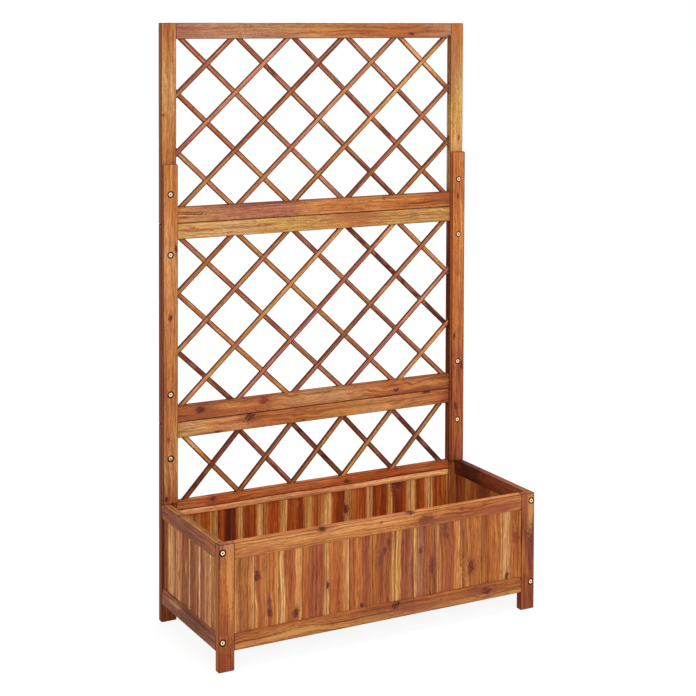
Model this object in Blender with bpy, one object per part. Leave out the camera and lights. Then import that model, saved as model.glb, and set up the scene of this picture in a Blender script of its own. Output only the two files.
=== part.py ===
# Trellis planter: a slatted wooden box on four feet, with a three-panel lattice back.
# Metres, +Z up. The front faces -Y, and the origin is on the floor under the middle of the piece.
import math

import bmesh
import bpy
from mathutils import Matrix, Vector

# Whole piece
overall_width = 0.880
overall_depth = 0.375
panel_height = 0.500          # each of the three panels of the back
box_height = 0.300            # top of the planter box
foot_height = 0.0465          # floor to the underside of the bottom rails

# Frame stock
stock_thick = 0.020
stile_width = 0.040           # legs and stiles
rail_width = 0.040
eased_edge = 0.0018           # radius on the edges
tenon_length = 0.015
tenon_height = 0.020
tenon_thick = 0.007

# Moulded inner edge of the rails that hold slats
bead_width = 0.008
band_width = 0.012
band_set = 0.0006             # the band lies this far under the main face
bead_step = 0.0012
lip_flat = 0.0010             # flat between the bead and the slat groove
quirk_width = 0.0022          # V line between the main face and the band
quirk_depth = 0.0012

# Slat walls
slat_thick = 0.008
slat_tongue = 0.0075          # how far a wall goes into a rail
slat_end_tongue = 0.006       # how far it goes into a leg
slat_cover = 0.063            # width of a whole slat, from one V line to the next
slat_line_width = 0.0030      # V line between two slats
slat_line_depth = 0.0014

# Lattice
lath_width = 0.013
lath_thick = 0.006
lath_proud = 0.0002           # rising laths stand proud of the falling ones at the half laps
lath_tongue = 0.0055          # how far a lath goes into the frame
lath_spare = 0.025            # length of a lath before it is trimmed, past each end
lattice_columns = 5
tall_lattice_rows = 3
tall_lattice_inset = 0.0055   # outermost crossings to the stile's inner face
tall_lattice_past = 0.0100    # the topmost and lowest crossings would lie this far inside the rails
low_lattice_rows = 1
low_lattice_inset = 0.0240
low_lattice_past = 0.0

# Battens that join the three panels
batten_width = 0.039
batten_thick = 0.012
batten_length = 0.850
batten_corner = 0.004         # rounding of the upper corners
batten_ease = 0.0009
screws_above_seam = (0.075, 0.075)    # at the lower and the upper seam
screws_below_seam = (0.086, 0.076)

# Bolts and screws
head_diameter = 0.013
head_thick = 0.0026
head_curve = ((0.62, 1.0), (0.90, 0.62), (1.0, 0.20), (1.0, 0.0))   # shares of radius and height
head_recess_diameter = 0.016
head_recess_depth = 0.0030
socket_width = 0.004          # across the flats of the hexagon
socket_depth = 0.0018
bolt_diameter = 0.006
bolt_bite = 0.041             # length in the end of a side rail
bolt_above_underside = 0.0235
bolt_below_top = 0.020
screw_diameter = 0.005
screw_bite = 0.0165           # length in a stile
fastener_sides = 12

# Floor of the box
cleat_width = 0.018
cleat_height = 0.015
cleat_ease = 0.0012
floor_board_count = 8
floor_board_gap = 0.011
floor_board_thick = 0.011
floor_end_gap = 0.002

fit = 0.0003                  # gap left between two pieces that touch
run_out = 0.002               # cutters start and end this far outside the wood

# Places worked out from the sizes above
side_x = overall_width / 2
back_y = overall_depth / 2
back_plane = back_y - stock_thick / 2          # middle of the back panels
front_plane = -back_plane                      # middle of the front legs and rails
inner_half = side_x - stile_width              # stile's inner face
inside_x = side_x - stock_thick                # inner face of the side walls
inside_y = back_y - stock_thick                # inner face of the front and back walls
low_rail_z = foot_height + rail_width / 2
top_rail_z = box_height - rail_width / 2
slat_low_z = foot_height + rail_width          # the opening that the slats fill
slat_high_z = box_height - rail_width
slat_groove = slat_thick + 2 * fit
lath_groove = lath_thick + 2 * lath_proud + 2 * fit
bolt_seat = stock_thick - head_recess_depth    # wood under a bolt's head
screw_seat = batten_thick - head_recess_depth

wood_tints = {
    'orange': (0.46, 0.19, 0.065),
    'tan': (0.53, 0.27, 0.10),
    'red': (0.34, 0.10, 0.036),
    'brown': (0.25, 0.085, 0.035),
    'pink': (0.38, 0.15, 0.08),
}
brass_tint = (0.80, 0.56, 0.24)


def clear_scene():
    for thing in list(bpy.data.objects):
        bpy.data.objects.remove(thing, do_unlink=True)


def principled(name, colour, roughness, metallic=0.0):
    material = bpy.data.materials.new(name)
    material.use_nodes = True
    shader = material.node_tree.nodes['Principled BSDF']
    shader.inputs['Base Color'].default_value = (*colour, 1.0)
    shader.inputs['Roughness'].default_value = roughness
    shader.inputs['Metallic'].default_value = metallic
    material.diffuse_color = (*colour, 1.0)
    return material


def add_empty(name, parent=None, place=(0, 0, 0)):
    return add_object(name, None, parent, place)


def add_object(name, mesh, parent=None, place=(0, 0, 0), turn=(0, 0, 0)):
    thing = bpy.data.objects.new(name, mesh)
    bpy.context.scene.collection.objects.link(thing)
    thing.parent = parent
    thing.location = place
    thing.rotation_euler = [math.radians(angle) for angle in turn]
    return thing


def add_wood(name, bm, tint, parent, place=(0, 0, 0), turn=(0, 0, 0)):
    mesh = finish_mesh(name, bm)
    mesh.materials.append(principled(name + '_wood', wood_tints[tint], 0.55))
    return add_object(name, mesh, parent, place, turn)


def finish_mesh(name, bm):
    bmesh.ops.recalc_face_normals(bm, faces=bm.faces)
    mesh = bpy.data.meshes.new(name)
    bm.to_mesh(mesh)
    bm.free()
    return mesh


def add_box(bm, low, high):
    # one closed box between two corners
    size = Vector(high) - Vector(low)
    middle = (Vector(high) + Vector(low)) / 2
    matrix = Matrix.Translation(middle) @ Matrix.Diagonal((*size, 1))
    bmesh.ops.create_cube(bm, size=1, matrix=matrix)


def add_prism(bm, outline, start, end):
    # a closed outline in X and Y, carried along Z
    lower = [bm.verts.new((x, y, start)) for x, y in outline]
    upper = [bm.verts.new((x, y, end)) for x, y in outline]
    bm.faces.new(lower)
    bm.faces.new(upper)
    for i in range(len(outline)):
        j = (i + 1) % len(outline)
        bm.faces.new((lower[i], lower[j], upper[j], upper[i]))


def add_turned(bm, rings, start, end):
    # rings of points joined in order, and closed at both ends by a point on the axis
    loops = [[bm.verts.new(point) for point in points] for points in rings]
    for near, far in zip(loops, loops[1:]):
        for i in range(len(near)):
            j = (i + 1) % len(near)
            bm.faces.new((near[i], near[j], far[j], far[i]))
    for loop, centre in ((loops[0], start), (loops[-1], end)):
        tip = bm.verts.new(centre)
        for i in range(len(loop)):
            bm.faces.new((loop[i], loop[(i + 1) % len(loop)], tip))


def ring(radius, along):
    # a circle round the Y axis
    step = 2 * math.pi / fastener_sides
    angles = [i * step for i in range(fastener_sides)]
    return [(radius * math.cos(angle), along, radius * math.sin(angle)) for angle in angles]


def hexagon_ring(across, along):
    # as many points as a circle has, on the sides of a hexagon
    points = []
    for i in range(fastener_sides):
        angle = 2 * math.pi * i / fastener_sides
        from_flat = angle % (math.pi / 3) - math.pi / 6
        radius = across / 2 / math.cos(from_flat)
        points.append((radius * math.cos(angle), along, radius * math.sin(angle)))
    return points


def ease_edges(thing, radius):
    bevel = thing.modifiers.new('eased edges', 'BEVEL')
    bevel.width = radius
    bevel.segments = 2
    bevel.limit_method = 'ANGLE'


def combine(thing, other, operation):
    other.hide_render = True
    other.display_type = 'WIRE'
    boolean = thing.modifiers.new(other.name, 'BOOLEAN')
    boolean.operation = operation
    boolean.solver = 'EXACT'
    boolean.object = other


def cut(thing, bm, label):
    # the cutter stands in world coordinates, so it has no parent
    name = thing.name + ' ' + label
    combine(thing, add_object(name, finish_mesh(name, bm)), 'DIFFERENCE')


# Each edge of a rail is a list of (through, inward) points, from the face to mid thickness
def plain_edge():
    points = []
    for step in range(3):
        angle = step * math.pi / 4
        through = -stock_thick / 2 + eased_edge * (1 - math.cos(angle))
        points.append((through, eased_edge * (1 - math.sin(angle))))
    return points


def lath_edge():
    deep = lath_tongue + fit
    return plain_edge() + [(-lath_groove / 2, 0), (-lath_groove / 2, deep)]


def bead_curve():
    # the quarter-round bead, from the band down to the lip
    crest = -stock_thick / 2 + band_set + bead_step
    lip = -slat_groove / 2 - lip_flat
    points = []
    for step in range(4):
        angle = step * math.pi / 6
        through = crest + (lip - crest) * (1 - math.cos(angle))
        points.append((through, bead_width * (1 - math.sin(angle))))
    return points


def moulded_edge():
    face = -stock_thick / 2
    band = band_width + bead_width
    quirk = [(face, band + quirk_width), (face + quirk_depth, band + quirk_width / 2)]
    flat = [(face + band_set, band), (face + band_set, bead_width)]
    groove = [(-slat_groove / 2, 0), (-slat_groove / 2, slat_tongue + fit)]
    return quirk + flat + bead_curve() + groove


def rail_outline(upper, lower):
    # the thickness runs along X and the width along Y
    half = rail_width / 2
    top = [(through, half - inward) for through, inward in upper]
    bottom = [(through, inward - half) for through, inward in lower]
    back_of_top = [(-through, across) for through, across in reversed(top)]
    back_of_bottom = [(-through, across) for through, across in bottom]
    return top + back_of_top + back_of_bottom + bottom[::-1]


def cross_rail(name, parent, upper, lower, y, z, tint):
    # a rail between two stiles, with a stub tenon at each end
    turn = (90, 0, 90)
    shoulder = inner_half - fit
    bm = bmesh.new()
    add_prism(bm, rail_outline(upper, lower), -shoulder, shoulder)
    thing = add_wood(name, bm, tint, parent, (0, y, z), turn)
    bm = bmesh.new()
    half = Vector((tenon_thick / 2, tenon_height / 2, inner_half + tenon_length - fit))
    add_box(bm, -half, half)
    tenons = add_object(name + ' tenons', finish_mesh(name + ' tenons', bm), parent, (0, y, z), turn)
    combine(thing, tenons, 'UNION')
    return thing


def side_rail(name, parent, upper, lower, side, z, bolt_z, tint):
    # a rail between a front leg and a rear leg, drilled at both ends for the bolts
    half_length = inside_y - fit
    bm = bmesh.new()
    add_prism(bm, rail_outline(upper, lower), -half_length, half_length)
    thing = add_wood(name, bm, tint, parent, (wall_x(side), 0, z), (90, 0, 180))
    bm = bmesh.new()
    for end in (-1, 1):
        drill(bm, wall_x(side), bolt_z, end * inside_y, -end, bolt_diameter, bolt_bite + 2 * fit)
    cut(thing, bm, 'bolt holes')
    return thing


def wall_x(side):
    # middle of a side wall's thickness, where the bolts run too
    return side * (side_x - stock_thick / 2)


def batten_x(side):
    return side * (side_x - batten_width / 2)


def mortise(bm, side, plane, z):
    # a pocket in a stile's inner face, for one tenon
    half_thick = tenon_thick / 2 + fit
    half_height = tenon_height / 2 + fit
    pocket(bm, side, tenon_length, plane - half_thick, plane + half_thick, z - half_height, z + half_height)


def slat_groove_stop(bm, side, plane):
    # the slat groove of a leg, which ends behind the rails
    half = slat_groove / 2
    past = slat_tongue + fit
    deep = slat_end_tongue + fit
    pocket(bm, side, deep, plane - half, plane + half, slat_low_z - past, slat_high_z + past)


def lath_groove_stop(bm, side, low, high):
    # the lath groove of a stile, which ends behind the rails
    half = lath_groove / 2
    deep = lath_tongue + fit
    pocket(bm, side, deep, back_plane - half, back_plane + half, low - deep, high + deep)


def pocket(bm, side, deep, low_y, high_y, low_z, high_z):
    mouth = side * (inner_half - run_out)
    end = side * (inner_half + deep)
    add_box(bm, (min(mouth, end), low_y, low_z), (max(mouth, end), high_y, high_z))


def drill(bm, x, z, face_y, inward, shank, deep, recess=0.0):
    # a hole along Y from a face: inward is 1 towards +Y and -1 towards -Y
    rings = []
    radius = shank / 2 + fit
    if recess:
        rings += [ring(head_recess_diameter / 2, -run_out), ring(head_recess_diameter / 2, recess)]
        rings.append(ring(radius, recess))
    else:
        rings.append(ring(radius, -run_out))
    rings.append(ring(radius, deep))
    place = Matrix.Translation((x, face_y, z)) @ Matrix.Diagonal((1, inward, 1, 1))
    placed = [[place @ Vector(point) for point in points] for points in rings]
    add_turned(bm, placed, place @ Vector((0, -run_out, 0)), place @ Vector((0, deep, 0)))


def fastener_mesh(name, shank, length):
    # a low button head with a hexagon socket, with the underside of the head at Y = 0
    floor = socket_depth - head_thick
    rings = [hexagon_ring(socket_width, floor), hexagon_ring(socket_width, -head_thick)]
    for across, along in head_curve:
        rings.append(ring(across * head_diameter / 2, -along * head_thick))
    rings += [ring(shank / 2, 0), ring(shank / 2, length - shank / 2), ring(shank / 4, length)]
    bm = bmesh.new()
    add_turned(bm, rings, (0, floor, 0), (0, length, 0))
    mesh = finish_mesh(name, bm)
    mesh.shade_smooth()
    mesh.set_sharp_from_angle(angle=math.radians(35))
    mesh.materials.append(principled(name + '_brass', brass_tint, 0.30, 1.0))
    return mesh


def slat_seams(opening):
    # whole slats stand in the middle of a wall, with a cut one at each end
    whole = math.floor(opening / slat_cover) - 1
    return [slat_cover * (i - whole / 2) for i in range(whole + 1)]


def slat_outline(half_width, seams):
    # a wall's section, with V lines on both faces between neighbouring slats
    face = -slat_thick / 2
    half_line = slat_line_width / 2
    front = [(-half_width, face)]
    for x in seams:
        front += [(x - half_line, face), (x, face + slat_line_depth), (x + half_line, face)]
    front.append((half_width, face))
    back = [(x, -y) for x, y in reversed(front)]
    return front + back


def slat_wall(name, parent, place, turn, half_width, seams, tint):
    bm = bmesh.new()
    outline = slat_outline(half_width, seams)
    add_prism(bm, outline, slat_low_z - slat_tongue, slat_high_z + slat_tongue)
    return add_wood(name, bm, tint, parent, place, turn)


def framed_slat_wall(name, parent, plane, tint):
    # the front and back walls sit in the legs too, with a bead beside each leg
    half_width = inner_half + slat_end_tongue
    place = (0, plane, 0)
    thing = slat_wall(name, parent, place, (0, 0, 0), half_width, slat_seams(2 * inner_half), tint)
    bm = bmesh.new()
    for side in (-1, 1):
        add_prism(bm, end_bead(side), slat_low_z + fit, slat_high_z - fit)
    beads = add_object(name + ' beads', finish_mesh(name + ' beads', bm), parent, place)
    combine(thing, beads, 'UNION')
    return thing


def end_bead(side):
    # the rails' bead turned down the wall's end: highest beside the leg, on both faces
    near = inner_half - fit
    run = near - (inner_half - bead_width)
    front = [(side * (near - run * (1 - inward / bead_width)), through) for through, inward in bead_curve()]
    back = [(x, -through) for x, through in reversed(front)]
    return front + back


def side_slat_wall(name, parent, side, tint):
    place = (wall_x(side), 0, 0)
    return slat_wall(name, parent, place, (0, 0, 90), inside_y - fit, slat_seams(2 * inside_y), tint)


def add_lath(bm, foot, head, thick):
    # a lath between two points of the lattice's plane, with spare length at both ends
    run = Vector((head[0] - foot[0], 0, head[1] - foot[1]))
    middle = Vector(((head[0] + foot[0]) / 2, 0, (head[1] + foot[1]) / 2))
    slope = Matrix.Rotation(-math.atan2(run.z, run.x), 4, 'Y')
    size = Matrix.Diagonal((run.length + 2 * lath_spare, thick, lath_width, 1))
    bmesh.ops.create_cube(bm, size=1, matrix=Matrix.Translation(middle) @ slope @ size)


def parallel_laths(half_width, low, high, rows, rising, thick):
    # all laths of one direction: each enters at the bottom or at one side of the grid
    bm = bmesh.new()
    column = 2 * half_width / lattice_columns
    row = (high - low) / rows
    for start in range(1 - rows, lattice_columns):
        first = max(start, 0)
        last = min(start + rows, lattice_columns)
        foot = (first * column - half_width, low + (first - start) * row)
        head = (last * column - half_width, low + (last - start) * row)
        if not rising:
            foot, head = (-foot[0], foot[1]), (-head[0], head[1])
        add_lath(bm, foot, head, thick)
    return bm


def lattice(name, parent, opening, rows, inset, past, tint):
    # half-lapped laths, trimmed where they end in the grooves of the frame
    half_width = inner_half - inset
    height = opening[1] - opening[0]
    grid = (-past, height + past)
    place = (0, 0, opening[0])
    falling = parallel_laths(half_width, *grid, rows, False, lath_thick)
    thing = add_wood(name, falling, tint, parent, place)
    rising = parallel_laths(half_width, *grid, rows, True, lath_thick + 2 * lath_proud)
    laths = add_object(name + ' rising laths', finish_mesh(name + ' rising laths', rising), parent, place)
    combine(thing, laths, 'UNION')
    bm = bmesh.new()
    reach = inner_half + lath_tongue
    add_box(bm, (-reach, -stock_thick, -lath_tongue), (reach, stock_thick, height + lath_tongue))
    trim = add_object(name + ' trim', finish_mesh(name + ' trim', bm), parent, place)
    combine(thing, trim, 'INTERSECT')
    return thing


def screw_heights():
    # two screws at each seam between panels
    heights = []
    seams = (panel_height, 2 * panel_height)
    for seam, below, above in zip(seams, screws_below_seam, screws_above_seam):
        heights += [seam - below, seam + above]
    return heights


def bolt_heights():
    return {'low': foot_height + bolt_above_underside, 'high': box_height - bolt_below_top}


def panel_span(panel):
    # bottom and top of one back panel, with the gap between neighbours shared
    low = panel * panel_height + (fit / 2 if panel > 0 else 0)
    high = (panel + 1) * panel_height - (fit / 2 if panel < 2 else 0)
    return low, high


def upright(name, parent, side, plane, low, high, tint):
    # a leg or a stile, with its mesh starting at its foot
    half_x, half_y = stile_width / 2, stock_thick / 2
    bm = bmesh.new()
    add_box(bm, (-half_x, -half_y, 0), (half_x, half_y, high - low))
    thing = add_wood(name, bm, tint, parent, (side * (side_x - half_x), plane, low))
    ease_edges(thing, eased_edge)
    return thing


def cut_leg(leg, side, plane, face_y, inward, mortise_heights, lath_opening=None):
    # joints of a leg of the box, and the bolts that come through it from outside
    bm = bmesh.new()
    for z in mortise_heights:
        mortise(bm, side, plane, z)
    slat_groove_stop(bm, side, plane)
    if lath_opening:
        lath_groove_stop(bm, side, *lath_opening)
    through = stock_thick + run_out
    for z in bolt_heights().values():
        drill(bm, wall_x(side), z, face_y, inward, bolt_diameter, through, head_recess_depth)
    cut(leg, bm, 'joints')


def drill_for_screws(board, side, low, high):
    # pilot holes of the batten screws that meet this board
    bm = bmesh.new()
    for z in screw_heights():
        if low < z < high:
            drill(bm, batten_x(side), z, inside_y, 1, screw_diameter, screw_bite + 2 * fit)
    cut(board, bm, 'pilot holes')


def build_box(root):
    for side, label in ((-1, 'left'), (1, 'right')):
        leg = upright('front_' + label + '_leg', root, side, front_plane, 0, box_height, 'orange')
        cut_leg(leg, side, front_plane, -back_y, 1, (low_rail_z, top_rail_z))
        bolts = bolt_heights()
        side_rail(label + '_top_rail', root, plain_edge(), moulded_edge(), side, top_rail_z,
                  bolts['high'], 'brown')
        side_rail(label + '_bottom_rail', root, moulded_edge(), plain_edge(), side, low_rail_z,
                  bolts['low'], 'brown')
        side_slat_wall(label + '_slats', root, side, 'tan')
    cross_rail('front_top_rail', root, plain_edge(), moulded_edge(), front_plane, top_rail_z, 'tan')
    cross_rail('front_bottom_rail', root, moulded_edge(), plain_edge(), front_plane, low_rail_z, 'orange')
    framed_slat_wall('front_slats', root, front_plane, 'orange')


def build_lower_panel(root):
    low, high = panel_span(0)
    seam_rail_z = high - rail_width / 2
    opening = (box_height, high - rail_width)
    for side, label in ((-1, 'left'), (1, 'right')):
        leg = upright('rear_' + label + '_leg', root, side, back_plane, low, high, 'orange')
        heights = (low_rail_z, top_rail_z, seam_rail_z)
        cut_leg(leg, side, back_plane, back_y, -1, heights, opening)
        drill_for_screws(leg, side, low, high)
    cross_rail('rear_bottom_rail', root, moulded_edge(), plain_edge(), back_plane, low_rail_z, 'red')
    cross_rail('waist_rail', root, lath_edge(), moulded_edge(), back_plane, top_rail_z, 'red')
    cross_rail('lower_panel_top_rail', root, plain_edge(), lath_edge(), back_plane, seam_rail_z, 'tan')
    framed_slat_wall('rear_slats', root, back_plane, 'red')
    plane = add_empty('back_plane', root, (0, back_plane, 0))
    lattice('lower_lattice', plane, opening, low_lattice_rows, low_lattice_inset, low_lattice_past, 'pink')


def build_tall_panel(root, name, panel, tint):
    low, high = panel_span(panel)
    height = high - low
    frame = add_empty(name + '_panel', root, (0, back_plane, low))
    rail_z = (rail_width / 2, height - rail_width / 2)
    for side, label in ((-1, 'left'), (1, 'right')):
        stile = upright(name + '_' + label + '_stile', frame, side, 0, 0, height, tint)
        bm = bmesh.new()
        for z in rail_z:
            mortise(bm, side, back_plane, low + z)
        lath_groove_stop(bm, side, low + rail_width, high - rail_width)
        cut(stile, bm, 'joints')
        drill_for_screws(stile, side, low, high)
    cross_rail(name + '_panel_bottom_rail', frame, lath_edge(), plain_edge(), 0, rail_z[0], 'tan')
    cross_rail(name + '_panel_top_rail', frame, plain_edge(), lath_edge(), 0, rail_z[1], tint)
    opening = (rail_width, height - rail_width)
    lattice(name + '_lattice', frame, opening,
            tall_lattice_rows, tall_lattice_inset, tall_lattice_past, 'pink')


def build_batten(name, root, side, tint):
    half_x, half_y = batten_width / 2, batten_thick / 2
    y = inside_y - fit - half_y
    bm = bmesh.new()
    add_box(bm, (-half_x, -half_y, 0), (half_x, half_y, batten_length))
    corners = [edge for edge in bm.edges
               if min(vert.co.z for vert in edge.verts) > batten_length / 2
               and edge.verts[0].co.x * edge.verts[1].co.x > 0]
    bmesh.ops.bevel(bm, geom=corners, offset=batten_corner, segments=3, profile=0.5, affect='EDGES')
    thing = add_wood(name, bm, tint, root, (batten_x(side), y, box_height + fit))
    ease_edges(thing, batten_ease)
    bm = bmesh.new()
    for z in screw_heights():
        drill(bm, batten_x(side), z, y - half_y, 1, screw_diameter, batten_thick + run_out, head_recess_depth)
    cut(thing, bm, 'screw holes')
    return thing


def build_fasteners(root):
    screw = fastener_mesh('batten_screw', screw_diameter, screw_seat + screw_bite)
    bolt = fastener_mesh('leg_bolt', bolt_diameter, bolt_seat + bolt_bite)
    screw_y = inside_y - fit - screw_seat - fit
    bolt_y = back_y - head_recess_depth + fit
    for side, label in ((-1, 'left'), (1, 'right')):
        for number, z in enumerate(screw_heights(), 1):
            add_object('batten_screw_%s_%d' % (label, number), screw, root, (batten_x(side), screw_y, z))
        for level, z in bolt_heights().items():
            x = wall_x(side)
            add_object('front_%s_bolt_%s' % (label, level), bolt, root, (x, -bolt_y, z))
            add_object('rear_%s_bolt_%s' % (label, level), bolt, root, (x, bolt_y, z), (0, 0, 180))


def build_floor(root):
    # two cleats carry boards laid from front to back
    cleat_z = foot_height + cleat_height / 2
    half = Vector((inside_x - fit, cleat_width / 2, cleat_height / 2))
    for label, end in (('front', -1), ('rear', 1)):
        bm = bmesh.new()
        add_box(bm, -half, half)
        y = end * (inside_y - fit - cleat_width / 2)
        cleat = add_wood(label + '_cleat', bm, 'orange', root, (0, y, cleat_z))
        ease_edges(cleat, cleat_ease)
    gaps = 2 * floor_end_gap + (floor_board_count - 1) * floor_board_gap
    board_width = (2 * inside_x - gaps) / floor_board_count
    z = foot_height + cleat_height + fit + floor_board_thick / 2
    half = Vector((board_width / 2, inside_y - floor_end_gap, floor_board_thick / 2))
    x = -inside_x + floor_end_gap + board_width / 2
    for number in range(1, floor_board_count + 1):
        bm = bmesh.new()
        add_box(bm, -half, half)
        board = add_wood('floor_board_%d' % number, bm, 'tan', root, (x, 0, z))
        ease_edges(board, cleat_ease)
        x += board_width + floor_board_gap


def build_planter():
    clear_scene()
    root = add_empty('trellis_planter')
    build_box(root)
    build_lower_panel(root)
    build_tall_panel(root, 'middle', 1, 'orange')
    build_tall_panel(root, 'upper', 2, 'orange')
    for side, label in ((-1, 'left'), (1, 'right')):
        build_batten(label + '_batten', root, side, 'orange')
    build_fasteners(root)
    build_floor(root)


build_planter()
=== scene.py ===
# Looks of the trellis planter: oiled acacia boards, slats and laths, and brass bolts.
import math

import bmesh
import bpy
from mathutils import Matrix, Vector


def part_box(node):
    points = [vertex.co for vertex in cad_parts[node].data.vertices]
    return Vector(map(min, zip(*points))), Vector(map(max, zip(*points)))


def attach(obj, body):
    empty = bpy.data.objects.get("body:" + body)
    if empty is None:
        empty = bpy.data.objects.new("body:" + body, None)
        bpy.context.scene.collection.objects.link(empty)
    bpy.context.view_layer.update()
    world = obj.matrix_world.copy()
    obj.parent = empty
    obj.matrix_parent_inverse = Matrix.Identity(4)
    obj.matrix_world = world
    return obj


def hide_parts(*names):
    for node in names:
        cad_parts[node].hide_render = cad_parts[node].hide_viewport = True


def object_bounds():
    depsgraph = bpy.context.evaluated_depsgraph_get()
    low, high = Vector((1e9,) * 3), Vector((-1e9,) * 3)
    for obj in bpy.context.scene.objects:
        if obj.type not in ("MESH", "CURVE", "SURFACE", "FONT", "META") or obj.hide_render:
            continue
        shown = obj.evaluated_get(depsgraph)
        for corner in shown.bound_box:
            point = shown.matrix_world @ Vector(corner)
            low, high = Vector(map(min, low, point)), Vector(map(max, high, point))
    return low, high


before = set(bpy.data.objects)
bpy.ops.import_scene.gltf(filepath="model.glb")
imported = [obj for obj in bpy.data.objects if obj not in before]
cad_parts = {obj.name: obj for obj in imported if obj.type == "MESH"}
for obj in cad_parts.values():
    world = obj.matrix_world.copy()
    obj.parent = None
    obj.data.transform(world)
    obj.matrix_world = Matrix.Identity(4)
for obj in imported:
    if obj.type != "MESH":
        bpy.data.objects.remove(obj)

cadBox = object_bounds()
leftEdge = cadBox[0].x * 100      # cm, so that places below are counted from the left front foot
frontEdge = cadBox[0].y * 100
print("frame loaded")


# Camera, as the photo was taken: level with the top of the back, with the lens shifted down
cameraSet = {
    "place": (-1.908, -3.5485, 1.522),
    "yaw": 28.68, "pitch": -2.13, "roll": 0.22,      # degrees; yaw turns from +Y to +X
    "lens": 83.07, "shift": (-0.0200, -0.3931),
}


def addCamera():
    data = bpy.data.cameras.new("camera")
    data.lens = cameraSet["lens"]
    data.shift_x, data.shift_y = cameraSet["shift"]
    camera = bpy.data.objects.new("camera", data)
    bpy.context.scene.collection.objects.link(camera)
    yaw, pitch, roll = (math.radians(cameraSet[key]) for key in ("yaw", "pitch", "roll"))
    turn = Matrix.Rotation(-yaw, 4, "Z") @ Matrix.Rotation(math.pi / 2 + pitch, 4, "X")
    camera.matrix_world = Matrix.Translation(cameraSet["place"]) @ turn @ Matrix.Rotation(roll, 4, "Z")
    bpy.context.scene.camera = camera


addCamera()
print("camera placed")


# Node trees are written as sums
class Wire:
    def __init__(self, sheet, socket):
        self.sheet = sheet
        self.socket = socket

    def maths(self, operation, *others):
        values = dict(enumerate((self, *others)))
        return self.sheet.node("ShaderNodeMath", {"operation": operation}, values)

    def __add__(self, other):
        return self.maths("ADD", other)

    __radd__ = __add__

    def __sub__(self, other):
        return self.maths("SUBTRACT", other)

    def __rsub__(self, other):
        return self.sheet.node("ShaderNodeMath", {"operation": "SUBTRACT"}, {0: other, 1: self})

    def __mul__(self, other):
        return self.maths("MULTIPLY", other)

    __rmul__ = __mul__

    def __truediv__(self, other):
        return self.maths("DIVIDE", other)

    def __abs__(self):
        return self.maths("ABSOLUTE")

    def smooth(self, start, end, low=0.0, high=1.0):      # from low at start to high at end
        values = {"Value": self, 1: start, 2: end, 3: low, 4: high}
        settings = {"interpolation_type": "SMOOTHSTEP"}
        return self.sheet.node("ShaderNodeMapRange", settings, values)


class Sheet:
    def __init__(self, owner):                           # a new material, or the world
        owner.use_nodes = True
        self.owner = owner
        self.tree = owner.node_tree
        self.tree.nodes.clear()

    def node(self, kind, settings=None, values=None, output=0):
        made = self.tree.nodes.new(kind)
        for key, value in (settings or {}).items():
            if key == "stops":
                setStops(made.color_ramp, value)
            else:
                setattr(made, key, value)
        for key, value in (values or {}).items():
            if isinstance(value, Wire):
                self.tree.links.new(value.socket, made.inputs[key])
            else:
                made.inputs[key].default_value = value
        return Wire(self, made.outputs[output] if made.outputs else None)

    def vector(self, x, y, z=0.0):
        return self.node("ShaderNodeCombineXYZ", None, {0: x, 1: y, 2: z})

    def dot(self, vector, direction):
        settings = {"operation": "DOT_PRODUCT"}
        return self.node("ShaderNodeVectorMath", settings, {0: vector, 1: direction}, "Value")

    def scaled(self, vector, factors, offset):
        settings = {"operation": "MULTIPLY_ADD"}
        return self.node("ShaderNodeVectorMath", settings, {0: vector, 1: factors, 2: offset})

    def length(self, vector):
        return self.node("ShaderNodeVectorMath", {"operation": "LENGTH"}, {0: vector}, "Value")

    def noise(self, place, scale, detail, roughness=0.5):
        values = {"Vector": place, "Scale": scale, "Detail": detail, "Roughness": roughness}
        return self.node("ShaderNodeTexNoise", None, values)

    def mix(self, share, first, second, blend="MIX"):
        settings = {"data_type": "RGBA", "blend_type": blend, "clamp_factor": True}
        return self.node("ShaderNodeMix", settings, {0: share, 6: first, 7: second}, 2)

    def surface(self, shader):
        self.node("ShaderNodeOutputMaterial", None, {"Surface": shader})
        return self.owner


def newSheet(name):
    return Sheet(bpy.data.materials.new(name))


def setStops(ramp, stops):
    while len(ramp.elements) < len(stops):
        ramp.elements.new(1.0)
    for element, (position, shade) in zip(ramp.elements, stops):
        element.position = position
        element.color = shade


# Oiled acacia, from sapwood to the heart of a knot
tones = {
    "cream": "CC9451", "sand": "C68F5A", "tan": "C7854C", "gold": "C28948", "honey": "BE7940",
    "clay": "B1764F", "orange": "B36934", "amber": "A95F2D", "mauve": "A26248", "rust": "9D562C",
    "brick": "944C2E", "copper": "AC5724", "russet": "A24C1B", "plum": "864328", "wine": "833812",
    "umber": "70381E", "coffee": "552113", "violet": "532429", "knot": "45170D",
    "straw": "AD7239", "fawn": "9F613F", "bark": "8F5332", "dun": "96592B", "rose": "9F5C45",
    "apricot": "DD904F", "walnut": "85492B", "garnet": "772A14", "butter": "E4AE6C", "blush": "D8A787",
}


def linear(code):
    shares = [int(code[i:i + 2], 16) / 255 for i in (0, 2, 4)]
    bright = [s / 12.92 if s <= 0.04045 else ((s + 0.055) / 1.055) ** 2.4 for s in shares]
    return (*bright, 1.0)


colour = {name: linear(code) for name, code in tones.items()}

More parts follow.
